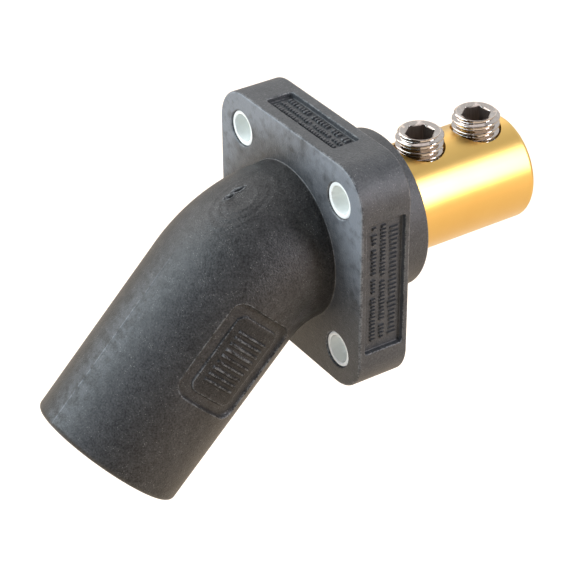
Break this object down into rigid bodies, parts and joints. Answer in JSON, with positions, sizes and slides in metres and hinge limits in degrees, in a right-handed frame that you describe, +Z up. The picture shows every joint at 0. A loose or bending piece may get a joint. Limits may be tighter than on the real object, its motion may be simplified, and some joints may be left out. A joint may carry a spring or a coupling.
{
  "type": "angled panel receptacle",
  "caption": "Single-pole power receptacle: a moulded elbow sleeve on a square flange shrouds a socket contact, with a set-screw wire barrel behind the panel.",
  "frame": {"origin": "where the wire barrel's axis meets the back face of the flange", "axes": "+Y along the barrel from the panel's outside to its inside, +Z up, +X to the right seen from outside; the sleeve points outwards and down, towards -Y and -Z"},
  "size_m": [0.0556, 0.1213, 0.0789],
  "materials": {
    "moulded_elastomer": "satin moulded thermoplastic elastomer, lightly dusty",
    "turned_brass": "bright turned",
    "natural_nylon": "natural moulded nylon",
    "plated_steel": "bright plated"
  },
  "bodies": {
    "receptacle": {"housing": "moulded_elastomer", "wire_barrel": "turned_brass", "socket_contact": "turned_brass", "cam_pin": "plated_steel", "joint_screw": "plated_steel", "joint_washer": "plated_steel", "bushing_upper_left": "natural_nylon", "bushing_upper_right": "natural_nylon", "bushing_lower_left": "natural_nylon", "bushing_lower_right": "natural_nylon"},
    "front_screw": {"set_screw_front": "plated_steel"},
    "rear_screw": {"set_screw_rear": "plated_steel"}
  },
  "joints": [
    {"name": "front_screw_travel", "type": "slide", "parent": "receptacle", "child": "front_screw", "axis": [0, 0, -1], "range_m": [-0.004, 0.0075]},
    {"name": "rear_screw_travel", "type": "slide", "parent": "receptacle", "child": "rear_screw", "axis": [0, 0, -1], "range_m": [-0.004, 0.0075]}
  ]
}
